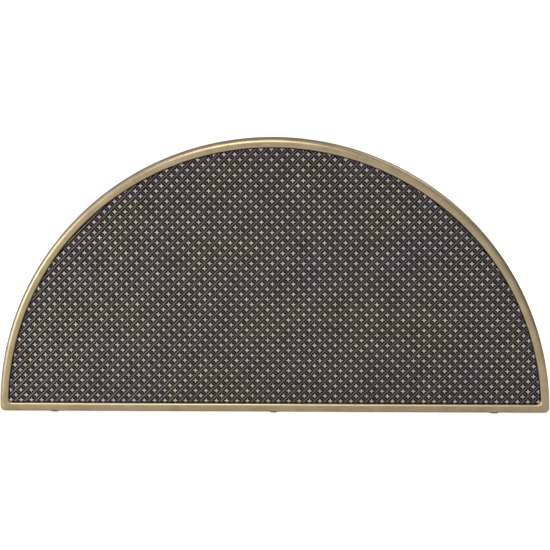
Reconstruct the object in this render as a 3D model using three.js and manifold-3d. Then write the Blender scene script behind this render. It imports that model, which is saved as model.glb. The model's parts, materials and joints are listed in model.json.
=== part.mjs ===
// A half-round fireplace screen that stands on the hearth.
// A mitred brass moulding holds a pressed relief panel from behind, with a backing sheet, retainers
// and screws. Two rear legs swing on vertical posts and fold flat behind the screen.
// X runs along the screen, -Y is its front and +Z is up. The origin is on the floor, under the middle
// glide of the bottom rail.
import * as THREE from 'three'
import { mergeVertices } from 'three/addons/utils/BufferGeometryUtils.js'
import Module from 'manifold-3d'

// ---- driving dimensions, in millimetres ----
const OUTER_RADIUS = 500          // the half-disc: 1000 wide and 500 high
const FLOOR_GAP = 1.5             // glides lift the rail this far
const CLEARANCE = 0.3             // between pieces that touch

const FACE_WIDTH = 16             // moulding, seen from the front
const MOULDING_DEPTH = 30
const LIP_THICKNESS = 9
const WALL_THICKNESS = 5
const OUTER_ROUNDING = 8          // front edges of the moulding
const INNER_ROUNDING = 4.5
const CORNER_ROUNDING = 8         // bottom corners of the outline
const SHEET_CORNER = 5

const FIELD_GAP = 1.6             // between the moulding and the raised field of the panel
const FIELD_SETBACK = 5           // top of the relief, behind the front face
const PANEL_SHEET = 1.5
const BACKING_SHEET = 1
const RETAINER_THICKNESS = 3
const RETAINER_WIDTH = 12
const CORNER_PLATE_THICKNESS = 3
const CORNER_PLATE_ARM = 62
const STILE_THICKNESS = 5
const STILE_WIDTH = 25
const STILE_X = 250

const SCREW_RADIUS = 2
const SCREW_HEAD_RADIUS = 4
const SCREW_HEAD_HEIGHT = 2.4
const SCREW_SKIN = 3              // brass left in front of a blind hole
const SCREW_INSET = 10.5          // screw line, in from the outer edge
const RAIL_SCREW_X = [-125, 0, 125]
const ARCH_SCREW_ANGLES = [30, 75, 105, 150]
const CORNER_SCREW_ANGLE = 6
const CORNER_SCREW_X = 455

const PIVOT_Y = 34                // axis of the leg posts
const POST_RADIUS = 6
const POST_BOTTOM = 10
const POST_TOP = 220
const LUG_HEIGHTS = { lower: 50, upper: 200 }
const LUG_HEIGHT = 16
const LUG_NOSE_RADIUS = 10
const LUG_PLATE = { width: 24, height: 48, thickness: 4 }
const LUG_SCREW_RISE = 17
const LUG_SCREW_LENGTH = 8
const COLLAR = { radius: 11, height: 8 }

const LEG_REACH = 150             // post axis to the middle of the foot pad
const LEG_BAR_WIDTH = 8
const FOOT_BAR = { bottom: 12, top: 26, overhang: 8, nose: 5 }
const BRACE = { high: 184, low: 168, outer: 140, inner: 126 }
const FOOT_PAD = { radius: 10, topRadius: 7, stemRise: 8 }

const GLIDE_X = [-400, 0, 400]
const GLIDE_NAMES = ['left', 'middle', 'right']
const GLIDE = { radius: 7, edge: 0.4, stemRadius: 2, stemRise: 3.7 }
const GLIDE_SETBACK = 9           // glide axis, behind the front face

const ARC_STEPS = 48              // facets of the half-circle
const CORNER_STEPS = 3
const ROUND_STEPS = 20
const SMALL_STEPS = 12

// ---- positions worked out from them ----
const FRONT_Y = -GLIDE_SETBACK
const REAR_Y = FRONT_Y + MOULDING_DEPTH
const LIP_BACK_Y = FRONT_Y + LIP_THICKNESS
const FIELD_Y = FRONT_Y + FIELD_SETBACK
const PANEL_Y = LIP_BACK_Y + CLEARANCE
const BACKING_Y = PANEL_Y + PANEL_SHEET + CLEARANCE
const RETAINER_Y = BACKING_Y + BACKING_SHEET + CLEARANCE
const STILE_Y = RETAINER_Y + RETAINER_THICKNESS + CLEARANCE
const LUG_Y = STILE_Y + STILE_THICKNESS + CLEARANCE
const SCREW_TIP_Y = FRONT_Y + SCREW_SKIN
const SHEET_INSET = WALL_THICKNESS + 1
const FIELD_INSET = FACE_WIDTH + FIELD_GAP
const RETAINER_INNER_INSET = SHEET_INSET + RETAINER_WIDTH
const HOLE_RADIUS = SCREW_RADIUS + CLEARANCE
const MITRE_GAP = CLEARANCE / Math.SQRT2

// ---- finishes ----
const finish = (color, roughness, metalness) => new THREE.MeshStandardMaterial({ color, roughness, metalness })
const satinBrass = () => finish(0xa8946f, 0.42, 1)
const reliefBrass = () => finish(0x6f675c, 0.5, 0.9)
const blackedSteel = () => finish(0x23211f, 0.6, 0.8)
const plainSteel = () => finish(0x8b8a86, 0.45, 1)
const nylon = () => finish(0xe6e4de, 0.5, 0)
const rubber = () => finish(0x1c1b1a, 0.8, 0)

// ---- helpers for solids ----
const wasm = await Module()
wasm.setup()

function solid(geometry) {
  const bare = geometry.clone()
  bare.deleteAttribute('normal')
  bare.deleteAttribute('uv')
  const merged = mergeVertices(bare, 1e-4)
  const corners = Array.from(merged.index.array)
  const triangles = []
  for (let i = 0; i < corners.length; i += 3) {
    const [a, b, c] = corners.slice(i, i + 3)
    if (a !== b && b !== c && c !== a) triangles.push(a, b, c)
  }
  return new wasm.Manifold(new wasm.Mesh({
    numProp: 3,
    vertProperties: new Float32Array(merged.getAttribute('position').array),
    triVerts: new Uint32Array(triangles),
  }))
}

function geometryOf(manifold) {
  const { vertProperties, triVerts } = manifold.getMesh()
  const geometry = new THREE.BufferGeometry()
  geometry.setAttribute('position', new THREE.BufferAttribute(new Float32Array(vertProperties), 3))
  geometry.setIndex(new THREE.BufferAttribute(new Uint32Array(triVerts), 1))
  geometry.computeVertexNormals()
  return geometry
}

function named(name, manifold, material) {
  const mesh = new THREE.Mesh(geometryOf(manifold), material)
  mesh.name = name
  return mesh
}

const degrees = THREE.MathUtils.degToRad

function arc(cx, cy, radius, from, to, steps) {
  return Array.from({ length: steps + 1 }, (_, i) => {
    const angle = from + (to - from) * i / steps
    return new THREE.Vector2(cx + radius * Math.cos(angle), cy + radius * Math.sin(angle))
  })
}

// An outline drawn in X and Z, with thickness along Y. Heights are above the rail's lower edge.
function upright(points, frontY, thickness) {
  const geometry = new THREE.ExtrudeGeometry(new THREE.Shape(points), { depth: thickness, bevelEnabled: false })
  geometry.rotateX(Math.PI / 2)
  geometry.translate(0, frontY + thickness, FLOOR_GAP)
  return solid(geometry)
}

// An outline drawn in Y and Z, with its thickness centred on X.
function sideways(points, thickness) {
  const geometry = new THREE.ExtrudeGeometry(new THREE.Shape(points), { depth: thickness, bevelEnabled: false })
  const turn = new THREE.Matrix4().makeBasis(
    new THREE.Vector3(0, 1, 0), new THREE.Vector3(0, 0, 1), new THREE.Vector3(1, 0, 0))
  geometry.applyMatrix4(turn)
  geometry.translate(-thickness / 2, 0, 0)
  return solid(geometry)
}

// A profile of [radius, height] pairs, turned about Z.
function turned(profile, steps) {
  const points = profile.map(([radius, height]) => new THREE.Vector2(radius, height))
  const geometry = new THREE.LatheGeometry(points, steps)
  geometry.rotateX(Math.PI / 2)
  return solid(geometry)
}

function block(x0, x1, y0, y1, z0, z1) {
  const geometry = new THREE.BoxGeometry(x1 - x0, y1 - y0, z1 - z0)
  geometry.translate((x0 + x1) / 2, (y0 + y1) / 2, (z0 + z1) / 2)
  return solid(geometry)
}

function drill(x, z, frontY, backY) {
  const geometry = new THREE.CylinderGeometry(HOLE_RADIUS, HOLE_RADIUS, backY - frontY, SMALL_STEPS)
  geometry.translate(x, (frontY + backY) / 2, z + FLOOR_GAP)
  return solid(geometry)
}

// ---- outlines ----
// A half-disc, inset from the outer edge all round, with its two bottom corners rounded.
function halfDisc(inset, corner) {
  const radius = OUTER_RADIUS - inset
  const centreX = Math.sqrt((radius - corner) ** 2 - (inset + corner) ** 2)
  const meet = Math.atan2(inset + corner, centreX)
  return [
    ...arc(centreX, inset + corner, corner, -Math.PI / 2, meet, CORNER_STEPS),
    ...arc(0, 0, radius, meet, Math.PI - meet, ARC_STEPS).slice(1, -1),
    ...arc(-centreX, inset + corner, corner, Math.PI - meet, 1.5 * Math.PI, CORNER_STEPS),
  ]
}

// The moulding's section, as [distance in from the outer edge, Y].
function mouldingSection() {
  const quarter = Math.PI / 2
  const innerCentre = [-FACE_WIDTH + INNER_ROUNDING, FRONT_Y + INNER_ROUNDING]
  const outerCentre = [-OUTER_ROUNDING, FRONT_Y + OUTER_ROUNDING]
  const inner = arc(...innerCentre, INNER_ROUNDING, 2 * quarter, 3 * quarter, CORNER_STEPS)
  const outer = arc(...outerCentre, OUTER_ROUNDING, 3 * quarter, 4 * quarter, CORNER_STEPS + 1)
  const back = [
    new THREE.Vector2(0, REAR_Y),
    new THREE.Vector2(-WALL_THICKNESS, REAR_Y),
    new THREE.Vector2(-WALL_THICKNESS, LIP_BACK_Y),
    new THREE.Vector2(-FACE_WIDTH, LIP_BACK_Y),
  ]
  return [...inner, ...outer, ...back]
}

// The zone that the rail fills, up to its 45 degree mitres.
function mitreZone(gap) {
  const reach = OUTER_RADIUS + gap
  const rise = 2 * FACE_WIDTH
  const drop = 1
  const points = [
    new THREE.Vector2(-reach - drop, -drop),
    new THREE.Vector2(reach + drop, -drop),
    new THREE.Vector2(reach - rise, rise),
    new THREE.Vector2(-reach + rise, rise),
  ]
  return upright(points, FRONT_Y - 1, MOULDING_DEPTH + 2)
}

// ---- where the screws go ----
const SCREW_RADIUS_LINE = OUTER_RADIUS - SCREW_INSET
const onArch = angle => [SCREW_RADIUS_LINE * Math.cos(angle), SCREW_RADIUS_LINE * Math.sin(angle)]
const stileAngle = Math.acos(STILE_X / SCREW_RADIUS_LINE)
const retainerScrews = [
  ...RAIL_SCREW_X.map(x => [x, SCREW_INSET]),
  ...ARCH_SCREW_ANGLES.map(angle => onArch(degrees(angle))),
]
const cornerScrews = [-1, 1].flatMap(side => {
  const [x, z] = onArch(degrees(CORNER_SCREW_ANGLE))
  return [[side * CORNER_SCREW_X, SCREW_INSET], [side * x, z]]
})
const stileScrews = [-1, 1].flatMap(side => [
  [side * STILE_X, SCREW_INSET], [side * STILE_X, onArch(stileAngle)[1]],
])
const frameScrews = [...retainerScrews, ...cornerScrews, ...stileScrews]

function drilled(piece, stations, frontY, backY) {
  return stations.reduce((rest, [x, z]) => rest.subtract(drill(x, z, frontY, backY)), piece)
}

const fastened = piece => drilled(piece, frameScrews, SCREW_TIP_Y - CLEARANCE, STILE_Y + STILE_THICKNESS + 1)

// ---- frame ----
const outline = upright(halfDisc(0, CORNER_ROUNDING), FRONT_Y - 1, MOULDING_DEPTH + 2)

function frameArch() {
  const section = mouldingSection().map(p => new THREE.Vector2(OUTER_RADIUS + p.x, p.y))
  const ring = new THREE.LatheGeometry([...section, section[0].clone()], 2 * ARC_STEPS)
  ring.rotateY(Math.PI / 2)
  ring.translate(0, 0, FLOOR_GAP)
  return fastened(solid(ring).intersect(outline).subtract(mitreZone(MITRE_GAP)))
}

function frameBottomRail() {
  const section = mouldingSection().map(p => new THREE.Vector2(p.y, FLOOR_GAP - p.x))
  const bar = sideways(section, 2 * OUTER_RADIUS).intersect(outline).intersect(mitreZone(-MITRE_GAP))
  const stemHole = new THREE.CylinderGeometry(HOLE_RADIUS, HOLE_RADIUS, 2 * (GLIDE.stemRise + CLEARANCE), SMALL_STEPS)
  stemHole.rotateX(Math.PI / 2)
  const holed = GLIDE_X.reduce((rest, x) => rest.subtract(solid(stemHole).translate([x, 0, FLOOR_GAP])), bar)
  return fastened(holed)
}

// ---- infill ----
// A pressed pan: the raised field stands in the frame's opening and the flange lies behind the lip.
function reliefPanel() {
  const flange = upright(halfDisc(SHEET_INSET, SHEET_CORNER), PANEL_Y, PANEL_SHEET)
  const field = upright(halfDisc(FIELD_INSET, SHEET_CORNER), FIELD_Y, PANEL_Y + PANEL_SHEET - FIELD_Y)
  const hollowInset = FIELD_INSET + PANEL_SHEET
  const hollow = upright(halfDisc(hollowInset, SHEET_CORNER), FIELD_Y + PANEL_SHEET, PANEL_Y + 1 - FIELD_Y)
  return fastened(flange.add(field).subtract(hollow))
}

function backingSheet() {
  return fastened(upright(halfDisc(SHEET_INSET, SHEET_CORNER), BACKING_Y, BACKING_SHEET))
}

// ---- retainers ----
const retainerRise = RETAINER_INNER_INSET + CLEARANCE

function archRetainer(from, to) {
  const outer = arc(0, 0, OUTER_RADIUS - SHEET_INSET, from, to, ARC_STEPS / 2)
  const inner = arc(0, 0, OUTER_RADIUS - RETAINER_INNER_INSET, to, from, ARC_STEPS / 2)
  return fastened(upright([...outer, ...inner], RETAINER_Y, RETAINER_THICKNESS))
}

function railRetainer() {
  const reach = OUTER_RADIUS - 2 * SHEET_INSET
  const strip = block(-reach, reach, RETAINER_Y, RETAINER_Y + RETAINER_THICKNESS,
    FLOOR_GAP + SHEET_INSET, FLOOR_GAP + RETAINER_INNER_INSET)
  return fastened(strip)
}

const retainerStart = Math.asin(retainerRise / (OUTER_RADIUS - RETAINER_INNER_INSET))
const retainerMiddle = CLEARANCE / 2 / (OUTER_RADIUS - RETAINER_INNER_INSET)

// An L-shaped plate that ties the arch to the rail across the mitre.
function cornerPlate(side) {
  const outer = OUTER_RADIUS - SHEET_INSET
  const inner = OUTER_RADIUS - RETAINER_INNER_INSET
  const points = [
    [outer, SHEET_INSET], [outer, CORNER_PLATE_ARM], [inner - 1, CORNER_PLATE_ARM],
    [inner - 1, RETAINER_INNER_INSET], [outer - CORNER_PLATE_ARM, RETAINER_INNER_INSET],
    [outer - CORNER_PLATE_ARM, SHEET_INSET],
  ].map(([x, z]) => new THREE.Vector2(side * x, z))
  const inside = upright(halfDisc(SHEET_INSET, SHEET_CORNER), STILE_Y - 1, STILE_THICKNESS)
  return fastened(upright(points, STILE_Y, CORNER_PLATE_THICKNESS).intersect(inside))
}

// ---- stiles and lugs ----
function stile(side) {
  const top = x => Math.sqrt((OUTER_RADIUS - SHEET_INSET) ** 2 - x ** 2)
  const near = STILE_X - STILE_WIDTH / 2
  const far = STILE_X + STILE_WIDTH / 2
  const points = [[near, SHEET_INSET], [far, SHEET_INSET], [far, top(far)], [near, top(near)]]
  const bar = upright(points.map(([x, z]) => new THREE.Vector2(side * x, z)), STILE_Y, STILE_THICKNESS)
  const lugStations = Object.values(LUG_HEIGHTS).flatMap(height => [-1, 1].map(end =>
    [side * STILE_X, height + end * LUG_SCREW_RISE - FLOOR_GAP]))
  return drilled(fastened(bar), lugStations, STILE_Y - 1, LUG_Y)
}

// A lug in its own frame: the post's axis is Z, and the stile is towards -Y.
function lug() {
  const plateY = LUG_Y - PIVOT_Y
  const { width, height, thickness } = LUG_PLATE
  const plate = block(-width / 2, width / 2, plateY, plateY + thickness, -height / 2, height / 2)
  const nose = arc(0, 0, LUG_NOSE_RADIUS, 0, Math.PI, ROUND_STEPS / 2)
  const root = [-1, 1].map(end => new THREE.Vector2(end * LUG_NOSE_RADIUS, plateY + thickness / 2))
  const tongueShape = new THREE.Shape([...nose, ...root])
  const tongue = new THREE.ExtrudeGeometry(tongueShape, { depth: LUG_HEIGHT, bevelEnabled: false })
  tongue.translate(0, 0, -LUG_HEIGHT / 2)
  const boreRadius = POST_RADIUS + CLEARANCE + 0.1
  const bore = new THREE.CylinderGeometry(boreRadius, boreRadius, 2 * LUG_HEIGHT, ROUND_STEPS)
  bore.rotateX(Math.PI / 2)
  const body = plate.add(solid(tongue)).subtract(solid(bore))
  const stations = [-1, 1].map(end => [0, end * LUG_SCREW_RISE - FLOOR_GAP])
  return drilled(body, stations, plateY - 1, plateY + thickness + 1)
}

// ---- a swing-out leg, in the frame of its post ----
function post() {
  const chamfer = 1
  return turned([
    [0, POST_BOTTOM], [POST_RADIUS - chamfer, POST_BOTTOM], [POST_RADIUS, POST_BOTTOM + chamfer],
    [POST_RADIUS, POST_TOP - chamfer], [POST_RADIUS - chamfer, POST_TOP], [0, POST_TOP],
  ], ROUND_STEPS)
}

function collar() {
  const inner = POST_RADIUS + CLEARANCE
  const bottom = LUG_HEIGHTS.upper + LUG_HEIGHT / 2 + CLEARANCE
  const top = bottom + COLLAR.height
  return turned([
    [inner, bottom], [COLLAR.radius, bottom], [COLLAR.radius, top - 1], [COLLAR.radius - 1, top],
    [inner, top], [inner, bottom],
  ], ROUND_STEPS)
}

const barStart = POST_RADIUS + CLEARANCE

function footBar() {
  const { bottom, top, overhang, nose } = FOOT_BAR
  const end = LEG_REACH + overhang
  const points = [[barStart, bottom], [end, bottom], [end, top - nose], [end - nose, top], [barStart, top]]
  const bar = sideways(points.map(([y, z]) => new THREE.Vector2(y, z)), LEG_BAR_WIDTH)
  const hole = new THREE.CylinderGeometry(HOLE_RADIUS, HOLE_RADIUS, 2 * FOOT_PAD.stemRise, SMALL_STEPS)
  hole.rotateX(Math.PI / 2)
  hole.translate(0, LEG_REACH, bottom + CLEARANCE)
  return bar.subtract(solid(hole))
}

function brace() {
  const base = FOOT_BAR.top + CLEARANCE
  const points = [[barStart, BRACE.low], [BRACE.inner, base], [BRACE.outer, base], [barStart, BRACE.high]]
  return sideways(points.map(([y, z]) => new THREE.Vector2(y, z)), LEG_BAR_WIDTH)
}

function footPad() {
  const { radius, topRadius, stemRise } = FOOT_PAD
  const top = FOOT_BAR.bottom - CLEARANCE
  return turned([
    [0, 0], [radius - 1, 0], [radius, 1], [radius, top / 2], [topRadius, top],
    [SCREW_RADIUS, top], [SCREW_RADIUS, top + stemRise], [0, top + stemRise],
  ], ROUND_STEPS).translate([0, LEG_REACH, 0])
}

function glide() {
  const { radius, edge, stemRadius, stemRise } = GLIDE
  const top = FLOOR_GAP - CLEARANCE
  return turned([
    [0, 0], [radius - edge, 0], [radius, edge], [radius, top],
    [stemRadius, top], [stemRadius, FLOOR_GAP + stemRise], [0, FLOOR_GAP + stemRise],
  ], ROUND_STEPS)
}

// A screw along Y, with the underside of its head at Y = 0 and its tip towards -Y.
function screw(length) {
  const profile = [
    [0, -length], [SCREW_RADIUS, -length], [SCREW_RADIUS, 0], [SCREW_HEAD_RADIUS, 0],
    [SCREW_HEAD_RADIUS, SCREW_HEAD_HEIGHT / 2], [SCREW_HEAD_RADIUS / 2, SCREW_HEAD_HEIGHT],
    [0, SCREW_HEAD_HEIGHT],
  ].map(([radius, y]) => new THREE.Vector2(radius, y))
  return solid(new THREE.LatheGeometry(profile, SMALL_STEPS))
}

// ---- assembly ----
const screen = new THREE.Group()

screen.add(
  named('frame_arch', frameArch(), satinBrass()),
  named('frame_bottom_rail', frameBottomRail(), satinBrass()),
  named('relief_panel', reliefPanel(), reliefBrass()),
  named('backing_sheet', backingSheet(), blackedSteel()),
  named('retainer_arch_right', archRetainer(retainerStart, Math.PI / 2 - retainerMiddle), blackedSteel()),
  named('retainer_arch_left', archRetainer(Math.PI / 2 + retainerMiddle, Math.PI - retainerStart), blackedSteel()),
  named('retainer_rail', railRetainer(), blackedSteel()),
)

function addScrews(prefix, stations, seatY) {
  stations.forEach(([x, z], i) => {
    const piece = named(`${prefix}_${i + 1}`, screw(seatY - SCREW_TIP_Y), plainSteel())
    piece.position.set(x, seatY, z + FLOOR_GAP)
    screen.add(piece)
  })
}

addScrews('retainer_screw', retainerScrews, RETAINER_Y + RETAINER_THICKNESS + CLEARANCE)
addScrews('corner_plate_screw', cornerScrews, STILE_Y + CORNER_PLATE_THICKNESS + CLEARANCE)
addScrews('stile_screw', stileScrews, STILE_Y + STILE_THICKNESS + CLEARANCE)

GLIDE_X.forEach((x, i) => {
  const piece = named(`rail_glide_${GLIDE_NAMES[i]}`, glide(), nylon())
  piece.position.x = x
  screen.add(piece)
})

for (const [sideName, side] of [['left', -1], ['right', 1]]) {
  screen.add(
    named(`corner_plate_${sideName}`, cornerPlate(side), blackedSteel()),
    named(`stile_${sideName}`, stile(side), blackedSteel()),
  )
  const atPost = new THREE.Group()
  atPost.position.set(side * STILE_X, PIVOT_Y, 0)
  for (const [level, height] of Object.entries(LUG_HEIGHTS)) {
    const body = named(`lug_${sideName}_${level}`, lug(), blackedSteel())
    body.position.z = height
    atPost.add(body)
    for (const [end, way] of [['low', -1], ['high', 1]]) {
      const piece = named(`lug_${sideName}_${level}_screw_${end}`, screw(LUG_SCREW_LENGTH), plainSteel())
      const seat = LUG_Y + LUG_PLATE.thickness + CLEARANCE
      piece.position.set(0, seat - PIVOT_Y, height + way * LUG_SCREW_RISE)
      atPost.add(piece)
    }
  }
  atPost.add(
    named(`leg_${sideName}_post`, post(), blackedSteel()),
    named(`leg_${sideName}_collar`, collar(), plainSteel()),
    named(`leg_${sideName}_foot_bar`, footBar(), blackedSteel()),
    named(`leg_${sideName}_brace`, brace(), blackedSteel()),
    named(`leg_${sideName}_foot_pad`, footPad(), rubber()),
  )
  screen.add(atPost)
}

export default screen
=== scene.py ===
# %% [markdown]
# # A half-round fireplace screen
# The screen is a brass moulding, mitred at its two bottom corners, that holds a panel with a relief of
# studs and crossing ribs. Behind the panel are black steel bars and two legs that swing out.
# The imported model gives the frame: every size and place below comes from it or from a few driving
# values. Lengths are in metres, X runs along the screen, -Y is its front and Z is up.

# %% Load the fixed frame
import json
import math

import bmesh
import bpy
from mathutils import Matrix, Vector


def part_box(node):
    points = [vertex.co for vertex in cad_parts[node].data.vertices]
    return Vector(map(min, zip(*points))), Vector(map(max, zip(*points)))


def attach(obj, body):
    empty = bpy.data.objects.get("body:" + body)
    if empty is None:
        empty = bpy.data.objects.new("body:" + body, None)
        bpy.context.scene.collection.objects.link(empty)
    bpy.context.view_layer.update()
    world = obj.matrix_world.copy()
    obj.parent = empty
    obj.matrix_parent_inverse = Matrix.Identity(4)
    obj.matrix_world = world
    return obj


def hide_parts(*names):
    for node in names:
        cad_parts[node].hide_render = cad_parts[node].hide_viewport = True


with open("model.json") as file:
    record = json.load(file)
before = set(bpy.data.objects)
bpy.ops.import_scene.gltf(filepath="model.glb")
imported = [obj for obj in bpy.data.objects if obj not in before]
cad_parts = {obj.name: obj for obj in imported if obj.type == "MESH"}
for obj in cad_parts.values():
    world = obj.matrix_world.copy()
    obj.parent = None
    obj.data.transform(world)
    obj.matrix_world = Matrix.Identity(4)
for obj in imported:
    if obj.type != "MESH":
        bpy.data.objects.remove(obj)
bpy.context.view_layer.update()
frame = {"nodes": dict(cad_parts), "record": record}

MM = 0.001
nodes = frame["nodes"]

# %% [markdown]
# The outline is an exact half-disc, so one radius drives it. The arch's box gives that radius, the rail's
# lowest point gives the floor gap, and the moulding's front and rear faces come from the same box.

# %% Driving sizes
arch_low, arch_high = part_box("frame_arch")
rail_low, rail_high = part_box("frame_bottom_rail")
base_z = rail_low.z
radius = arch_high.z - base_z
front_y = arch_low.y
rear_y = arch_high.y
face_width = rail_high.z - rail_low.z
WALL = 5 * MM
LIP_DEPTH = 9 * MM
lip_back_y = front_y + LIP_DEPTH
print(f"radius {radius:.4f}, face {face_width:.4f}, depth {rear_y - front_y:.4f}")

# %% [markdown]
# ## Camera
# The view is from slightly right of the middle and 11 degrees above, a long way off, so the half-disc
# stays almost round. The camera is made from its three axes, which keeps its small roll explicit.

# %% Camera
VIEW_AZIMUTH = math.radians(2.6)
VIEW_ELEVATION = math.radians(11)
VIEW_ROLL = math.radians(-0.4)
LENS = 144.6
camera_distance = 7.926 * radius
aim_right = 0.0099 * radius
aim_height = 0.5087 * radius
target = Vector((aim_right, front_y, base_z + aim_height))

back = Vector((math.sin(VIEW_AZIMUTH) * math.cos(VIEW_ELEVATION),
               -math.cos(VIEW_AZIMUTH) * math.cos(VIEW_ELEVATION),
               math.sin(VIEW_ELEVATION)))
right = Vector((math.cos(VIEW_AZIMUTH), math.sin(VIEW_AZIMUTH), 0))
rolled = Matrix.Rotation(VIEW_ROLL, 3, back)
right_axis = rolled @ right
up_axis = back.cross(right_axis)

camera_data = bpy.data.cameras.new("camera")
camera_data.lens = LENS
camera_data.sensor_width = 36
camera = bpy.data.objects.new("camera", camera_data)
turn = Matrix((right_axis, up_axis, back)).transposed()
camera.matrix_world = Matrix.Translation(target + camera_distance * back) @ turn.to_4x4()
bpy.context.scene.collection.objects.link(camera)
bpy.context.scene.camera = camera
print("camera at", tuple(round(value, 3) for value in camera.location))

# %% [markdown]
# ## Floor and light
# Satin metal shows the room it stands in more than its own colour. The room here is a white sweep: the
# camera sees plain white, while reflections see a softer grey, brightest at the upper left in front, and
# three large soft boxes. A Light Path node tells what the camera sees from what lights the object, so one
# helper serves both the floor and the sky.

# %% Helper: one strength seen, another felt
def seen_and_felt(tree, target_socket, seen, felt):
    """Sends one strength to what the camera sees and another to what lights the object.
    Returns the socket of the second, which a texture may drive."""
    path = tree.nodes.new("ShaderNodeLightPath")
    choice = tree.nodes.new("ShaderNodeMapRange")
    choice.inputs["To Min"].default_value = felt
    choice.inputs["To Max"].default_value = seen
    tree.links.new(path.outputs["Is Camera Ray"], choice.inputs["Value"])
    tree.links.new(choice.outputs["Result"], target_socket)
    return choice.inputs["To Min"]


# %% [markdown]
# The floor is a large plain sheet. It glows for the camera only, so that it fades into the white
# background and adds no light of its own to the screen.

# %% Floor
FLOOR_SIZE = 12
FLOOR_WHITE = 0.75

floor_shape = bmesh.new()
bmesh.ops.create_grid(floor_shape, x_segments=2, y_segments=2, size=FLOOR_SIZE)
floor_mesh = bpy.data.meshes.new("floor")
floor_shape.to_mesh(floor_mesh)
floor_shape.free()
floor = bpy.data.objects.new("floor", floor_mesh)
bpy.context.scene.collection.objects.link(floor)
floor_white = bpy.data.materials.new("white floor")
floor_white.use_nodes = True
floor_shader = floor_white.node_tree.nodes["Principled BSDF"]
floor_shader.inputs["Base Color"].default_value = (0.9, 0.9, 0.9, 1)
floor_shader.inputs["Roughness"].default_value = 0.9
floor_shader.inputs["Emission Color"].default_value = (1, 1, 1, 1)
seen_and_felt(floor_white.node_tree, floor_shader.inputs["Emission Strength"], FLOOR_WHITE, 0)
floor_mesh.materials.append(floor_white)
print("floor:", 2 * FLOOR_SIZE, "m square")

# %% [markdown]
# The room's brightness in a reflection depends on direction alone: the dot product with the bright side
# gives it, from the dark corner behind on the right to the window in front on the left. The darker side
# gives every stud and rib a shaded flank.

# %% Sky
ROOM_GLOW = (0.08, 0.68)
BRIGHT_SIDE = (-0.55, -0.62, 0.56)
DARKEST_AT = -0.8
ROOM_WHITE = 1.05

sky = bpy.data.worlds.new("studio sky")
sky.use_nodes = True
sky_light = sky.node_tree.nodes["Background"]
sky_light.inputs["Color"].default_value = (1, 1, 1, 1)
felt_socket = seen_and_felt(sky.node_tree, sky_light.inputs["Strength"], ROOM_WHITE, ROOM_GLOW[0])
way = sky.node_tree.nodes.new("ShaderNodeTexCoord")
towards_window = sky.node_tree.nodes.new("ShaderNodeVectorMath")
towards_window.operation = "DOT_PRODUCT"
towards_window.inputs[1].default_value = BRIGHT_SIDE
fade = sky.node_tree.nodes.new("ShaderNodeMapRange")
fade.inputs["From Min"].default_value = DARKEST_AT
fade.inputs["To Min"].default_value = ROOM_GLOW[0]
fade.inputs["To Max"].default_value = ROOM_GLOW[1]
sky.node_tree.links.new(way.outputs["Generated"], towards_window.inputs[0])
sky.node_tree.links.new(towards_window.outputs["Value"], fade.inputs["Value"])
sky.node_tree.links.new(fade.outputs["Result"], felt_socket)
bpy.context.scene.world = sky
bpy.context.scene.view_settings.view_transform = "Standard"
print("sky:", [node.name for node in sky.node_tree.nodes])

# %% [markdown]
# The soft boxes stand on the left, overhead and behind. They draw the bright lines along the rounded
# edges. The one behind is weak, so that the far side of the moulding doesn't flare.

# %% Lamps
def soft_box(name, place, aim, size, power):
    """A square area lamp, turned towards the point that it aims at."""
    data = bpy.data.lights.new(name, "AREA")
    data.size = size
    data.energy = power
    lamp = bpy.data.objects.new(name, data)
    lamp.location = place
    lamp.rotation_euler = (Vector(aim) - Vector(place)).to_track_quat("-Z", "Y").to_euler()
    bpy.context.scene.collection.objects.link(lamp)


middle = (0, 0, radius / 2)
soft_box("left soft box", (-2.2, -1.7, 0.55), middle, 1.1, 17)
soft_box("overhead soft box", (-0.4, -1.3, 2.3), middle, 1.1, 14)
soft_box("rear soft box", (1.3, 2.2, 1.9), middle, 1.4, 9)

# %% [markdown]
# ## Helpers for making pieces
# Each piece is shaped in a bmesh and then turned into an object at the origin. Faces are shaded smooth and
# the edges that turn sharply are marked, so flats stay flat and rounded edges look round. Points closer
# than a hair are merged first, and what is still open is closed, so every piece is a whole skin.

# %% Helpers
SHARP_ANGLE = math.radians(38)
MERGE = 0.03 * MM


def everything(bm):
    return bm.verts[:] + bm.edges[:] + bm.faces[:]


def open_edges(bm):
    return [edge for edge in bm.edges if edge.is_boundary]


def make_piece(name, bm, material, body, slot, *replaced):
    bmesh.ops.remove_doubles(bm, verts=bm.verts, dist=MERGE)
    bmesh.ops.dissolve_degenerate(bm, edges=bm.edges, dist=MERGE)
    bmesh.ops.holes_fill(bm, edges=open_edges(bm), sides=0)
    bmesh.ops.delete(bm, geom=[edge for edge in bm.edges if edge.is_wire], context="EDGES")
    bmesh.ops.recalc_face_normals(bm, faces=bm.faces)
    for face in bm.faces:
        face.smooth = True
    for edge in bm.edges:
        edge.smooth = len(edge.link_faces) == 2 and edge.calc_face_angle(0) < SHARP_ANGLE
    shared = sum(len(edge.link_faces) > 2 for edge in bm.edges)
    print(f"{name}: {len(bm.faces)} faces, {len(open_edges(bm))} open edges, "
          f"{shared} shared by more than two")
    mesh = bpy.data.meshes.new(name)
    bm.to_mesh(mesh)
    bm.free()
    mesh.materials.append(material)
    piece = bpy.data.objects.new(name, mesh)
    bpy.context.scene.collection.objects.link(piece)
    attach(piece, body)
    if replaced:
        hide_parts(*replaced)


# %% [markdown]
# ## Shared finish: fine grain
# Brushed brass, patina and powder coat all break up the light with small marks. One group makes them at
# any size: a mask from two noises, and a bumped normal. Each material gives it its own values.

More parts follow.
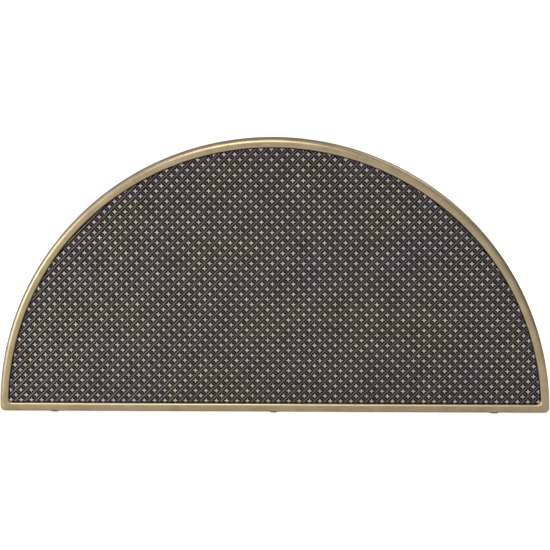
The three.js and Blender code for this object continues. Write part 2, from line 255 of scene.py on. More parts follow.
# %% Node group: surface grain
def new_group(name, inputs, outputs):
    group = bpy.data.node_groups.new(name, "ShaderNodeTree")
    for label, kind, value in inputs:
        socket = group.interface.new_socket(label, in_out="INPUT", socket_type=kind)
        socket.default_value = value
    for label, kind in outputs:
        group.interface.new_socket(label, in_out="OUTPUT", socket_type=kind)
    entry = group.nodes.new("NodeGroupInput")
    leave = group.nodes.new("NodeGroupOutput")
    return group, entry, leave


def add(tree, kind, **settings):
    node = tree.nodes.new(kind)
    for key, value in settings.items():
        setattr(node, key, value)
    return node


def math_node(tree, operation, first, second=None, clamp=False):
    node = add(tree, "ShaderNodeMath", operation=operation, use_clamp=clamp)
    for socket, value in zip(node.inputs, (first, second)):
        if value is None:
            continue
        if isinstance(value, bpy.types.NodeSocket):
            tree.links.new(value, socket)
        else:
            socket.default_value = value
    return node.outputs[0]


def make_grain_group():
    group, entry, leave = new_group(
        "surface grain",
        [("Fine scale", "NodeSocketFloat", 900.0), ("Broad scale", "NodeSocketFloat", 30.0),
         ("Bump height", "NodeSocketFloat", 0.0001)],
        [("Fine", "NodeSocketFloat"), ("Broad", "NodeSocketFloat"), ("Normal", "NodeSocketVector")])
    place = add(group, "ShaderNodeTexCoord")
    fine = add(group, "ShaderNodeTexNoise")
    broad = add(group, "ShaderNodeTexNoise")
    fine.inputs["Detail"].default_value = 2
    broad.inputs["Detail"].default_value = 4
    for noise, scale in ((fine, "Fine scale"), (broad, "Broad scale")):
        group.links.new(place.outputs["Object"], noise.inputs["Vector"])
        group.links.new(entry.outputs[scale], noise.inputs["Scale"])
    bump = add(group, "ShaderNodeBump")
    bump.inputs["Strength"].default_value = 1
    group.links.new(entry.outputs["Bump height"], bump.inputs["Distance"])
    group.links.new(fine.outputs["Fac"], bump.inputs["Height"])
    group.links.new(fine.outputs["Fac"], leave.inputs["Fine"])
    group.links.new(broad.outputs["Fac"], leave.inputs["Broad"])
    group.links.new(bump.outputs["Normal"], leave.inputs["Normal"])
    return group


grain_group = make_grain_group()
print("groups:", [group.name for group in bpy.data.node_groups])

# %% [markdown]
# Most finishes here are one metal or coating with a light and a dark tone that the grain mixes, and a
# roughness that drifts with it. A small function builds such a material round the grain group, and the
# special surfaces add to what it returns: the material, its tree, its shader and the node of its tones.

# %% Material helper
GRAIN_CONTRAST = 1.6
GRAIN_OFFSET = -1.1


def shader_colour(colour):
    return (*colour, 1)


def grained(name, dark, light, metallic, roughness, fine=900.0, broad=30.0, bump=0.00005):
    material = bpy.data.materials.new(name)
    material.use_nodes = True
    tree = material.node_tree
    shader = tree.nodes["Principled BSDF"]
    shader.inputs["Metallic"].default_value = metallic
    grain = add(tree, "ShaderNodeGroup", node_tree=grain_group)
    grain.inputs["Fine scale"].default_value = fine
    grain.inputs["Broad scale"].default_value = broad
    grain.inputs["Bump height"].default_value = bump
    both = math_node(tree, "ADD", grain.outputs["Fine"], grain.outputs["Broad"])
    mask = math_node(tree, "MULTIPLY_ADD", both, GRAIN_CONTRAST, clamp=True)
    mask.node.inputs[2].default_value = GRAIN_OFFSET
    tones = add(tree, "ShaderNodeMix", data_type="RGBA")
    tones.inputs[6].default_value = shader_colour(dark)
    tones.inputs[7].default_value = shader_colour(light)
    tree.links.new(mask, tones.inputs[0])
    tree.links.new(tones.outputs[2], shader.inputs["Base Color"])
    drift = add(tree, "ShaderNodeMapRange")
    drift.inputs["To Min"].default_value = roughness[0]
    drift.inputs["To Max"].default_value = roughness[1]
    tree.links.new(grain.outputs["Broad"], drift.inputs["Value"])
    tree.links.new(drift.outputs["Result"], shader.inputs["Roughness"])
    tree.links.new(grain.outputs["Normal"], shader.inputs["Normal"])
    return material, tree, shader, tones


# %% [markdown]
# ## The moulding
# The frame is a brass section, bent to an arch and mitred to a straight rail. Sweeping the section along
# the outline is one way to make it. Here the outline comes first: a half-disc slab is opened from both
# sides by insets, which keeps every wall exactly parallel to the edge. Bevels then round the corners and
# the lip, and cuts along 45 degree planes part the arch from the rail.

# %% Outline
ARC_STEPS = 160
NEAR = 0.02 * MM
LOW_POINTS = 1.6         # points of the arc lower than this many insets are left out


def half_disc(bm, disc_radius, floor_z, y, later_inset):
    """One upright face, facing -Y, with its straight side down. Points of the arc that a later inset would
    push below the straight side are left out, so that the inset outline doesn't cross itself."""
    bmesh.ops.create_circle(bm, cap_ends=True, segments=2 * ARC_STEPS, radius=disc_radius)
    bmesh.ops.rotate(bm, verts=bm.verts, matrix=Matrix.Rotation(math.pi / 2, 3, "X"))
    bmesh.ops.bisect_plane(bm, geom=everything(bm), dist=NEAR / 2, plane_co=(0, 0, floor_z),
                           plane_no=(0, 0, 1), clear_inner=True)
    bmesh.ops.remove_doubles(bm, verts=bm.verts, dist=NEAR / 2)
    low = [vert for vert in bm.verts if NEAR < vert.co.z - floor_z < LOW_POINTS * later_inset]
    bmesh.ops.dissolve_verts(bm, verts=low)
    bmesh.ops.translate(bm, verts=bm.verts, vec=(0, y, base_z))
    bm.faces.ensure_lookup_table()
    return bm.faces[0]


def thicken(bm, face, depth):
    """Makes a lone face into a plate by extruding it along Y."""
    made = bmesh.ops.extrude_face_region(bm, geom=[face])["geom"]
    moved = [item for item in made if isinstance(item, bmesh.types.BMVert)]
    bmesh.ops.translate(bm, verts=moved, vec=(0, depth, 0))


def sink(bm, face, depth):
    """Moves a face of a solid along Y and walls in the step."""
    bmesh.ops.inset_region(bm, faces=[face], thickness=0, use_boundary=True)
    bmesh.ops.translate(bm, verts=face.verts, vec=(0, depth, 0))


def inset(bm, face, thickness):
    """Shrinks a face by the same width all round and fills the border that this leaves."""
    bmesh.ops.inset_region(bm, faces=[face], thickness=thickness, use_even_offset=True, use_boundary=True)


# %% [markdown]
# A bevel needs to know its edges. They are found by where they are and how they run, so the numbers of
# the mesh never matter: the corners run from front to rear, and the lip's edges lie at one depth.

# %% Finding and rounding edges
FOLD = math.radians(60)
SAME_PLACE = 1 * MM


def edges_where(bm, test):
    return [edge for edge in bm.edges if test(edge)]


def round_edges(bm, edges, size, segments):
    bmesh.ops.bevel(bm, geom=edges, offset=size, offset_type="OFFSET", segments=segments, profile=0.5,
                    affect="EDGES", material=-1, clamp_overlap=False)


def folded(edge, y):
    """An edge at depth y where two faces meet at a right angle."""
    level = all(abs(vert.co.y - y) < NEAR for vert in edge.verts)
    return level and len(edge.link_faces) == 2 and edge.calc_face_angle(0) > FOLD


def on_outline(edge):
    """True on the outer edge of the moulding, false on the edge of its opening."""
    middle_point = (edge.verts[0].co + edge.verts[1].co) / 2
    height = middle_point.z - base_z
    return height < face_width / 2 or math.hypot(middle_point.x, height) > radius - face_width / 2


def runs_back(edge, x, z):
    """True for an edge that runs from front to rear at this place or at its mirror image."""
    first, second = edge.verts
    place = first.co
    level = abs(first.co.x - second.co.x) < NEAR and abs(first.co.z - second.co.z) < NEAR
    return level and abs(abs(place.x) - x) < SAME_PLACE and abs(place.z - z) < SAME_PLACE


# %% [markdown]
# The slab gets its face, its outer wall and the lip that the panel rests against. Its four corners are
# rounded before the lip, so that the lip's roundings run on round them.

# %% Section
CORNER_RADIUS = 9 * MM
OPENING_CORNER_RADIUS = 7 * MM
OUTER_ROUNDING = 8 * MM
INNER_ROUNDING = 4.5 * MM
REAR_ROUNDING = 0.6 * MM
CORNER_STEPS = 8
OUTER_STEPS = 9
INNER_STEPS = 6
REAR_STEPS = 2


def moulding_solid():
    bm = bmesh.new()
    front = half_disc(bm, radius, 0, front_y, face_width)
    thicken(bm, front, rear_y - front_y)
    bmesh.ops.recalc_face_normals(bm, faces=bm.faces)
    front = min(bm.faces, key=lambda face: face.calc_center_median().y)
    rear = max(bm.faces, key=lambda face: face.calc_center_median().y)
    inset(bm, front, face_width)
    inset(bm, rear, WALL)
    sink(bm, rear, lip_back_y - rear_y)
    inset(bm, rear, face_width - WALL)
    rims = list(front.edges) + list(rear.edges)
    bmesh.ops.delete(bm, geom=[front, rear], context="FACES_ONLY")
    bmesh.ops.bridge_loops(bm, edges=rims)
    bmesh.ops.recalc_face_normals(bm, faces=bm.faces)
    opening_x = math.sqrt((radius - face_width) ** 2 - face_width ** 2)
    corners = edges_where(bm, lambda edge: runs_back(edge, radius, base_z))
    round_edges(bm, corners, CORNER_RADIUS, CORNER_STEPS)
    corners = edges_where(bm, lambda edge: runs_back(edge, opening_x, base_z + face_width))
    round_edges(bm, corners, OPENING_CORNER_RADIUS, CORNER_STEPS)
    outer = edges_where(bm, lambda edge: folded(edge, front_y) and on_outline(edge))
    round_edges(bm, outer, OUTER_ROUNDING, OUTER_STEPS)
    inner = edges_where(bm, lambda edge: folded(edge, front_y) and not on_outline(edge))
    round_edges(bm, inner, INNER_ROUNDING, INNER_STEPS)
    rear_edges = edges_where(bm, lambda edge: folded(edge, rear_y))
    round_edges(bm, rear_edges, REAR_ROUNDING, REAR_STEPS)
    for vert in bm.verts:
        vert.co.y = max(vert.co.y, front_y)
    print("moulding:", len(bm.faces), "faces,", len(open_edges(bm)), "open edges")
    return bm


moulding = moulding_solid()

# %% [markdown]
# Each piece is cut on its right half only and then mirrored, so both mitres are the same. The mitre's
# plane would also slice the arch higher up, so only the faces near the corner are given to that cut.

# %% Cut the mitres
MITRE_NORMAL = Vector((1, 0, 1)).normalized()
MITRE_GAP = 0.02 * MM
PLANE_TOLERANCE = 1e-7
arch_corner_top = base_z + 2.6 * face_width
rail_corner_top = base_z + 2 * face_width


def cut(bm, geom, place, normal, keep_positive):
    """Cuts geom by a plane and keeps one side of it."""
    bmesh.ops.bisect_plane(bm, geom=geom, dist=PLANE_TOLERANCE, plane_co=place, plane_no=normal,
                           clear_inner=keep_positive, clear_outer=not keep_positive)


def below(bm, z):
    """Everything that belongs to a face lying wholly under this height."""
    faces = [face for face in bm.faces if all(vert.co.z < z for vert in face.verts)]
    edges = {edge for face in faces for edge in face.edges}
    verts = {vert for face in faces for vert in face.verts}
    return list(verts) + list(edges) + faces


def close_mitre(bm):
    rims = [edge for edge in open_edges(bm) if any(vert.co.x > radius / 2 for vert in edge.verts)]
    bmesh.ops.holes_fill(bm, edges=rims, sides=0)


def mirrored(bm):
    bmesh.ops.mirror(bm, geom=everything(bm), matrix=Matrix.Identity(4), merge_dist=NEAR / 2, axis="X")
    return bm


def arch_solid():
    bm = moulding.copy()
    cut(bm, everything(bm), (0, 0, 0), (1, 0, 0), True)
    corner = Vector((radius, 0, base_z)) + MITRE_GAP * MITRE_NORMAL
    cut(bm, below(bm, arch_corner_top), corner, MITRE_NORMAL, True)
    close_mitre(bm)
    return mirrored(bm)


def rail_solid():
    bm = moulding.copy()
    cut(bm, everything(bm), (0, 0, 0), (1, 0, 0), True)
    cut(bm, everything(bm), (0, 0, rail_corner_top), (0, 0, 1), False)
    corner = Vector((radius, 0, base_z)) - MITRE_GAP * MITRE_NORMAL
    cut(bm, everything(bm), corner, MITRE_NORMAL, False)
    close_mitre(bm)
    return mirrored(bm)


# %% [markdown]
# The brass is satin with a fine linen-like grain, and paler on the rounded lip of the opening: partly wear
# from hands and cloths, partly a painted highlight standing in for the gleam of the lamps on that rounded
# edge. Pointiness could find that edge, but it depends on the mesh. The distance from the outline, worked
# out from Object coordinates, gives an even band instead.

# %% Brass
# Width and colour of the paler band on the lip: partly wear, partly a painted highlight.
RUB_AND_SHEEN_WIDTH = 3.5 * MM
PALE_BRASS_AND_SHEEN = (0.66, 0.54, 0.345)

brass, brass_tree, brass_shader, brass_tones = grained(
    "satin brass", (0.50, 0.39, 0.225), (0.68, 0.545, 0.33), 1.0, (0.30, 0.42),
    fine=700.0, broad=45.0, bump=0.00006)


def rubbed_and_sheened_lip(tree, shader, tones):
    """Turns the brass pale near the opening, near its arc or near its straight side: partly wear, partly a
    painted highlight along the lip.
    """
    place = add(tree, "ShaderNodeTexCoord")
    parts = add(tree, "ShaderNodeSeparateXYZ")
    tree.links.new(place.outputs["Object"], parts.inputs[0])
    height = math_node(tree, "SUBTRACT", parts.outputs["Z"], base_z)
    squares = math_node(tree, "ADD", math_node(tree, "POWER", parts.outputs["X"], 2.0),
                        math_node(tree, "POWER", height, 2.0))
    from_arc = math_node(tree, "SUBTRACT", radius, math_node(tree, "SQRT", squares))
    from_outline = math_node(tree, "MINIMUM", from_arc, height)
    # The paler band is partly wear and partly a painted highlight along the rounded lip.
    rub_and_sheen = add(tree, "ShaderNodeMapRange", interpolation_type="SMOOTHSTEP")
    rub_and_sheen.inputs["From Min"].default_value = face_width - RUB_AND_SHEEN_WIDTH
    rub_and_sheen.inputs["From Max"].default_value = face_width - RUB_AND_SHEEN_WIDTH / 2
    tree.links.new(from_outline, rub_and_sheen.inputs["Value"])
    pale = add(tree, "ShaderNodeMix", data_type="RGBA")
    pale.inputs[7].default_value = shader_colour(PALE_BRASS_AND_SHEEN)
    tree.links.new(rub_and_sheen.outputs["Result"], pale.inputs[0])
    tree.links.new(tones.outputs[2], pale.inputs[6])
    tree.links.new(pale.outputs[2], shader.inputs["Base Color"])


rubbed_and_sheened_lip(brass_tree, brass_shader, brass_tones)
print("brass nodes:", len(brass_tree.nodes))

# %% Make the moulding
make_piece("arch_moulding", arch_solid(), brass, "screen", "satin_brass", "frame_arch")
make_piece("rail_moulding", rail_solid(), brass, "screen", "satin_brass", "frame_bottom_rail")
moulding.free()

# %% [markdown]
# ## The relief panel
# A relief like this is usually one pressed or cast sheet: a dark floor, two sets of rounded ribs that
# cross at right angles, and a four-pointed stud in every diamond between them. A displaced grid would need
# millions of faces to show it, so the floor, the ribs and the studs are separate pieces of simple shapes
# that sink into each other. They stand on one square lattice, turned by 45 degrees.

# %% The lattice
PITCH = 0.0376 * radius
FIRST_ROW = 0.0032 * radius
FIELD_GAP = 1.6 * MM
RELIEF_FLOOR_DEPTH = 8.1 * MM
STUD_TOP_DEPTH = 5 * MM
field_inset = face_width + FIELD_GAP
field_radius = radius - field_inset
floor_y = front_y + RELIEF_FLOOR_DEPTH
stud_top_y = front_y + STUD_TOP_DEPTH
forward_shift = -FIRST_ROW
backward_shift = FIRST_ROW
print(f"pitch {PITCH / MM:.2f} mm along a row, {PITCH / math.sqrt(2) / MM:.2f} mm along a rib")

# %% [markdown]
# Everything on the panel stops at the same outline, a little inside the moulding. That outline is convex,
# so it is a stack of plane cuts: one for the bottom and one for each short stretch of the arc.

# %% Trimming to the outline
TRIM_STEPS = 60


def trim_planes():
    planes = [(Vector((0, 0, base_z + field_inset)), Vector((0, 0, -1)))]
    for step in range(TRIM_STEPS):
        angle = math.pi * (step + 0.5) / TRIM_STEPS
        outward = Vector((math.cos(angle), 0, math.sin(angle)))
        planes.append((Vector((0, 0, base_z)) + field_radius * outward, outward))
    return planes


def trim(bm):
    for place, outward in trim_planes():
        cut(bm, everything(bm), place, outward, False)
    bmesh.ops.holes_fill(bm, edges=open_edges(bm), sides=0)


print("trimming planes:", len(trim_planes()))

# %% [markdown]
# A rib is half of a round bar, squashed to its own height. One is made long enough to cross the whole panel
# and is then copied across it.

# %% Ribs
RIB_STEPS = 12
FORWARD_RIB = (4.4 * MM, 2.3 * MM)
BACKWARD_RIB = (4.0 * MM, 1.9 * MM)


def rib_bar(width, height):
    """A bar along +X, its flat side on the panel's floor and its round side towards -Y."""
    bm = bmesh.new()
    bmesh.ops.create_circle(bm, cap_ends=True, segments=RIB_STEPS, radius=1)
    cut(bm, everything(bm), (0, 0, 0), (0, 1, 0), False)
    bmesh.ops.rotate(bm, verts=bm.verts, matrix=Matrix(((0, 0, 1), (0, 1, 0), (-1, 0, 0))))
    bmesh.ops.scale(bm, verts=bm.verts, vec=(1, height, width / 2))
    bm.faces.ensure_lookup_table()
    made = bmesh.ops.extrude_face_region(bm, geom=[bm.faces[0]])["geom"]
    far_end = [item for item in made if isinstance(item, bmesh.types.BMVert)]
    bmesh.ops.translate(bm, verts=far_end, vec=(4 * radius, 0, 0))
    bmesh.ops.translate(bm, verts=bm.verts, vec=(-2 * radius, floor_y, 0))
    return bm


def scattered(shape, places):
    """Copies one shape to each place, a matrix, and returns them in one bmesh."""
    whole = bmesh.new()
    mesh = bpy.data.meshes.new("one")
    for place in places:
        shape.to_mesh(mesh)
        mesh.transform(place)
        whole.from_mesh(mesh)
    bpy.data.meshes.remove(mesh)
    shape.free()
    return whole


def rib_places(slope, shift):
    tilt = Matrix.Rotation(-slope * math.pi / 4, 4, "Y")
    count = math.ceil(2 * radius / PITCH)
    for step in range(-count, count + 1):
        yield Matrix.Translation((shift + step * PITCH, 0, base_z)) @ tilt


def ribs(slope, shift, width, height):
    bm = scattered(rib_bar(width, height), rib_places(slope, shift))
    trim(bm)
    return bm


# %% [markdown]
# A stud is a low four-pointed star with hollow sides. It starts as a circle, whose points are pulled in
# between the tips, and gets a sloping side, a chamfered top edge and a slightly domed top.

# %% Studs
STAR_POWER = 0.64
STUD_POINTS = 12
STUD_TIP = 5.8 * MM
STUD_TAPER = 0.94
STUD_EDGE = 0.35 * MM
STUD_DOME = 0.3 * MM


def stud_shape():
    bm = bmesh.new()
    bmesh.ops.create_circle(bm, cap_ends=True, segments=STUD_POINTS, radius=1)
    for vert in bm.verts:
        across = abs(vert.co.x) ** STAR_POWER + abs(vert.co.y) ** STAR_POWER
        vert.co *= STUD_TIP * across ** (-1 / STAR_POWER)
    bmesh.ops.rotate(bm, verts=bm.verts, matrix=Matrix.Rotation(math.pi / 2, 3, "X"))
    bm.faces.ensure_lookup_table()
    top = bm.faces[0]
    made = bmesh.ops.extrude_face_region(bm, geom=[top])["geom"]
    lifted = [item for item in made if isinstance(item, bmesh.types.BMVert)]
    cap = next(item for item in made if isinstance(item, bmesh.types.BMFace))
    shoulder = stud_top_y + STUD_EDGE + STUD_DOME - floor_y
    bmesh.ops.translate(bm, verts=lifted, vec=(0, shoulder, 0))
    bmesh.ops.scale(bm, verts=lifted, vec=(STUD_TAPER, 1, STUD_TAPER))
    bmesh.ops.inset_region(bm, faces=[cap], thickness=STUD_EDGE, use_even_offset=False)
    bmesh.ops.translate(bm, verts=cap.verts, vec=(0, -STUD_EDGE, 0))
    centre = bmesh.ops.poke(bm, faces=[cap])["verts"]
    bmesh.ops.translate(bm, verts=centre, vec=(0, -STUD_DOME, 0))
    bmesh.ops.translate(bm, verts=bm.verts, vec=(0, floor_y, 0))
    bmesh.ops.recalc_face_normals(bm, faces=bm.faces)
    return bm


def stud_places():
    whole, cut_off = [], []
    rows = math.ceil(2 * radius / PITCH)
    for row in range(rows + 1):
        z = FIRST_ROW + row * PITCH / 2
        half_count = math.ceil(radius / PITCH)
        for step in range(-half_count, half_count + 1):
            x = (step + (0 if row % 2 else 0.5)) * PITCH
            margin = min(field_radius - math.hypot(x, z), z - field_inset)
            place = Matrix.Translation((x, 0, base_z + z))
            if margin > STUD_TIP:
                whole.append(place)
            elif margin > -STUD_TIP:
                cut_off.append(place)
    return whole, cut_off


def stud_field():
    whole, cut_off = stud_places()
    edge_studs = scattered(stud_shape(), cut_off)
    trim(edge_studs)
    bm = scattered(stud_shape(), whole)
    mesh = bpy.data.meshes.new("edge studs")
    edge_studs.to_mesh(mesh)
    bm.from_mesh(mesh)
    edge_studs.free()
    bpy.data.meshes.remove(mesh)
    print("studs:", len(whole), "whole and", len(cut_off), "cut by the edge")
    return bm


# %% [markdown]
# The floor of the relief is a thin plate that also passes behind the moulding's lip, where the retainers
# clamp it.

# %% Floor of the relief
FLANGE_INSET = 6 * MM
SEAT_GAP = 0.3 * MM
flange_y = lip_back_y + SEAT_GAP
flange_width = field_inset - FLANGE_INSET
panel_rear_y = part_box("relief_panel")[1].y


def panel_floor():
    bm = bmesh.new()
    face = half_disc(bm, radius - FLANGE_INSET, FLANGE_INSET, flange_y, flange_width)
    thicken(bm, face, panel_rear_y - flange_y)
    bmesh.ops.recalc_face_normals(bm, faces=bm.faces)
    front = min(bm.faces, key=lambda item: item.calc_center_median().y)
    inset(bm, front, flange_width)
    sink(bm, front, floor_y - flange_y)
    return bm


print(f"flange {flange_width / MM:.1f} mm wide, {(panel_rear_y - flange_y) / MM:.1f} mm thick")

# %% [markdown]
# The patina is darkest in the hollows. The high faces are bright, partly worn and partly a painted
# highlight, and their flanks carry painted shade. Each piece has its own tone, the backward ribs a darker
# one as painted shade, and a lattice group gives each stud a shade of its own at random, because no two are
# rubbed alike.

# %% Node group: one random value for each stud
def make_lattice_group():
    group, entry, leave = new_group("stud lattice", [], [("Shade", "NodeSocketFloat")])
    place = add(group, "ShaderNodeTexCoord")
    parts = add(group, "ShaderNodeSeparateXYZ")
    group.links.new(place.outputs["Object"], parts.inputs[0])
    height = math_node(group, "SUBTRACT", parts.outputs["Z"], base_z + FIRST_ROW)
    cells = []
    for operation in ("ADD", "SUBTRACT"):
        along = math_node(group, operation, parts.outputs["X"], height)
        scaled = math_node(group, "DIVIDE", along, PITCH)
        cells.append(math_node(group, "FLOOR", scaled))
    key = add(group, "ShaderNodeCombineXYZ")
    for socket, cell in zip(key.inputs, cells):
        group.links.new(cell, socket)
    noise = add(group, "ShaderNodeTexWhiteNoise", noise_dimensions="3D")
    group.links.new(key.outputs[0], noise.inputs["Vector"])
    group.links.new(noise.outputs["Value"], leave.inputs["Shade"])
    return group


lattice_group = make_lattice_group()
print("group:", lattice_group.name)

# %% [markdown]
# Patina also changes colour slowly over the panel: warm and yellow in some clouds, cool and lilac in
# others and all along the arch. One group gives that as a mask, for the studs and both sets of ribs.

# %% Node group: warm and cool patina
COOL_BORDER = 20 * MM
WARM_BELOW = 0.33
COOL_ABOVE = 0.62


def make_drift_group():
    group, entry, leave = new_group("patina drift", [("Cloud scale", "NodeSocketFloat", 9.0)],
                                    [("Cool", "NodeSocketFloat")])
    place = add(group, "ShaderNodeTexCoord")
    cloud = add(group, "ShaderNodeTexNoise")
    cloud.inputs["Detail"].default_value = 3
    group.links.new(place.outputs["Object"], cloud.inputs["Vector"])
    group.links.new(entry.outputs["Cloud scale"], cloud.inputs["Scale"])
    patches = add(group, "ShaderNodeMapRange")
    patches.inputs["From Min"].default_value = WARM_BELOW
    patches.inputs["From Max"].default_value = COOL_ABOVE
    group.links.new(cloud.outputs["Fac"], patches.inputs["Value"])
    from_centre = add(group, "ShaderNodeVectorMath", operation="DISTANCE")
    flat = add(group, "ShaderNodeVectorMath", operation="MULTIPLY")
    flat.inputs[1].default_value = (1, 0, 1)
    group.links.new(place.outputs["Object"], flat.inputs[0])
    group.links.new(flat.outputs[0], from_centre.inputs[0])
    from_centre.inputs[1].default_value = (0, 0, base_z)
    border = add(group, "ShaderNodeMapRange")
    border.inputs["From Min"].default_value = field_radius - COOL_BORDER
    border.inputs["From Max"].default_value = field_radius - COOL_BORDER / 2
    group.links.new(from_centre.outputs["Value"], border.inputs["Value"])
    cool = math_node(group, "MAXIMUM", patches.outputs["Result"], border.outputs["Result"])
    group.links.new(cool, leave.inputs["Cool"])
    return group


drift_group = make_drift_group()
print("group:", drift_group.name)


def drifting(tree, colour_socket, cool_tint):
    """Multiplies a colour by a cool tint where the drift says so, and returns the result."""
    drift = add(tree, "ShaderNodeGroup", node_tree=drift_group)
    tint = add(tree, "ShaderNodeMix", data_type="RGBA", blend_type="MULTIPLY")
    tint.inputs[7].default_value = shader_colour(cool_tint)
    tree.links.new(drift.outputs["Cool"], tint.inputs[0])
    tree.links.new(colour_socket, tint.inputs[6])
    return tint.outputs[2]


# %% [markdown]
# Whatever faces forward is painted bright and its flanks are painted dark: partly rubbing that takes the
# patina off the crests of the ribs and the tops of the studs, partly a painted highlight on them and
# painted shade on their flanks.
# The direction of the surface gives that mask: one group holds it, and the studs and the ribs each say how
# far round it reaches.

# %% Node group: bright where it faces forward, partly rubbing, partly a painted highlight
def make_rub_and_sheen_group():
    group, entry, leave = new_group(
        "forward rub", [("Start", "NodeSocketFloat", 0.5), ("End", "NodeSocketFloat", 1.0)],
        [("Rub and sheen", "NodeSocketFloat")])
    shape = add(group, "ShaderNodeNewGeometry")
    parts = add(group, "ShaderNodeSeparateXYZ")
    group.links.new(shape.outputs["Normal"], parts.inputs[0])
    # Faces turned forward get bright metal: partly rubbing, partly a painted highlight; the flanks keep
    # painted shade.
    facing = math_node(group, "MULTIPLY", parts.outputs["Y"], -1.0)
    rub_and_sheen = add(group, "ShaderNodeMapRange", interpolation_type="SMOOTHSTEP")
    group.links.new(entry.outputs["Start"], rub_and_sheen.inputs["From Min"])
    group.links.new(entry.outputs["End"], rub_and_sheen.inputs["From Max"])
    group.links.new(facing, rub_and_sheen.inputs["Value"])
    group.links.new(rub_and_sheen.outputs["Result"], leave.inputs["Rub and sheen"])
    return group


rub_and_sheen_group = make_rub_and_sheen_group()
print("group:", rub_and_sheen_group.name)


def rub_and_sheen_mask(tree, start, end):
    rub_and_sheen = add(tree, "ShaderNodeGroup", node_tree=rub_and_sheen_group)
    rub_and_sheen.inputs["Start"].default_value = start
    rub_and_sheen.inputs["End"].default_value = end
    return rub_and_sheen.outputs["Rub and sheen"]


def sheen_over_patina_and_shade(tree, shader, bright_socket, mask_socket, dark):
    """Shows the bright metal where the mask is white, and the dark colour elsewhere: patina, and on the
    flanks painted shade as well.
    """
    patina = add(tree, "ShaderNodeMix", data_type="RGBA")
    patina.inputs[6].default_value = shader_colour(dark)
    tree.links.new(mask_socket, patina.inputs[0])
    tree.links.new(bright_socket, patina.inputs[7])
    tree.links.new(patina.outputs[2], shader.inputs["Base Color"])


# %% [markdown]
# The floor of the relief is nearly black. The two sets of ribs are bright only along their crests, and the
# studs over their whole tops, so they are the brightest thing on the panel: partly wear, partly a painted
# highlight, with painted shade on the flanks. The backward ribs are painted darker than the forward ones,
# as painted shade.

# %% Relief materials
# Reach of the bright forward faces, and the dark flank colours: partly rubbing and patina, partly painted
# highlight and painted shade.
RIB_RUB_AND_SHEEN = (0.82, 1.0)
STUD_RUB_AND_SHEEN = (0.45, 0.95)
STUD_SHADES = (0.84, 1.0)
RIB_PATINA_AND_SHADE = (0.045, 0.037, 0.036)
STUD_PATINA_AND_SHADE = (0.03, 0.026, 0.022)
COOL_RIB_TINT = (0.92, 0.87, 1.14)
COOL_STUD_TINT = (0.91, 0.89, 1.24)

patina_floor = grained("relief floor", (0.004, 0.0035, 0.003), (0.012, 0.010, 0.008), 0.3, (0.6, 0.8))[0]
patina_forward, forward_tree, forward_shader, forward_tones = grained(
    "forward ribs", (0.18, 0.152, 0.13), (0.34, 0.286, 0.244), 0.9, (0.24, 0.34))
# The backward ribs get darker tones than the forward ribs: painted shade, since they run along the light
# and catch less of it.
backward_patina_painted_darker, backward_tree, backward_shader, backward_tones = grained(
    "backward ribs painted darker", (0.13, 0.113, 0.094), (0.25, 0.215, 0.18), 0.9, (0.26, 0.38))
for tree, shader, tones in ((forward_tree, forward_shader, forward_tones),
                            (backward_tree, backward_shader, backward_tones)):
    rib_colour = drifting(tree, tones.outputs[2], COOL_RIB_TINT)
    sheen_over_patina_and_shade(tree, shader, rib_colour, rub_and_sheen_mask(tree, *RIB_RUB_AND_SHEEN), RIB_PATINA_AND_SHADE)
# The studs' bright tops and dark sides come from the same mask: partly burnishing and patina, partly
# painted highlight and painted shade.
stud_brass, stud_tree, stud_shader, stud_tones = grained(
    "burnished and shaded studs", (0.65, 0.60, 0.41), (0.90, 0.84, 0.60), 0.95, (0.3, 0.42))


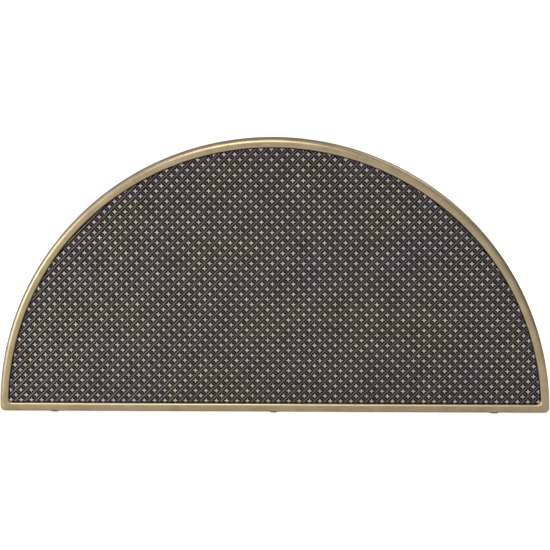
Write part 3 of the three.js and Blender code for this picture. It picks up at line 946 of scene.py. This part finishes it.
def worn_and_shaded_studs(tree, shader, tones):
    """Keeps the side faces dark, with patina and painted shade, and gives each stud a shade of its own at
    random.
    """
    lattice = add(tree, "ShaderNodeGroup", node_tree=lattice_group)
    shade = add(tree, "ShaderNodeMapRange")
    shade.inputs["To Min"].default_value = STUD_SHADES[0]
    shade.inputs["To Max"].default_value = STUD_SHADES[1]
    tree.links.new(lattice.outputs["Shade"], shade.inputs["Value"])
    amount = math_node(tree, "MULTIPLY", rub_and_sheen_mask(tree, *STUD_RUB_AND_SHEEN), shade.outputs["Result"])
    stud_colour = drifting(tree, tones.outputs[2], COOL_STUD_TINT)
    sheen_over_patina_and_shade(tree, shader, stud_colour, amount, STUD_PATINA_AND_SHADE)


worn_and_shaded_studs(stud_tree, stud_shader, stud_tones)
print("stud nodes:", len(stud_tree.nodes))

# %% Make the relief
forward_ribs = ribs(1, forward_shift, *FORWARD_RIB)
backward_ribs = ribs(-1, backward_shift, *BACKWARD_RIB)
make_piece("relief_floor", panel_floor(), patina_floor, "screen", "relief_brass", "relief_panel")
make_piece("forward_ribs", forward_ribs, patina_forward, "screen", "relief_brass")
make_piece("backward_ribs", backward_ribs, backward_patina_painted_darker, "screen", "relief_brass")
make_piece("studs", stud_field(), stud_brass, "screen", "relief_brass")

# %% [markdown]
# ## Parts behind the panel
# These keep the shapes that the frame gives them and get the finish that such parts usually have:
# stove-black powder coat on the steel, bright zinc on the screws and collars, pale nylon glides and black
# rubber feet.

# %% Finishes of the parts behind
black_coat = grained("black powder coat", (0.012, 0.0115, 0.011), (0.03, 0.029, 0.028), 0.0, (0.45, 0.6),
                     fine=1400.0, broad=60.0, bump=0.00012)[0]
zinc = grained("bright zinc", (0.42, 0.42, 0.43), (0.62, 0.61, 0.58), 1.0, (0.28, 0.42),
               fine=1200.0, broad=200.0, bump=0.00002)[0]
nylon = grained("pale nylon", (0.72, 0.71, 0.68), (0.80, 0.79, 0.76), 0.0, (0.4, 0.55))[0]
rubber = grained("foot rubber", (0.010, 0.010, 0.010), (0.022, 0.021, 0.020), 0.0, (0.75, 0.9))[0]
slot_finish = {"blacked_steel": black_coat, "zinc_steel": zinc, "nylon": nylon, "rubber": rubber}
slot_of = {part["node"]: part["material_slot"] for part in frame["record"]["subparts"]}

for name, node in nodes.items():
    finish = slot_finish.get(slot_of[name])
    if finish:
        node.data.materials.clear()
        node.data.materials.append(finish)
print("refinished:", sum(slot in slot_finish for slot in slot_of.values()), "nodes")
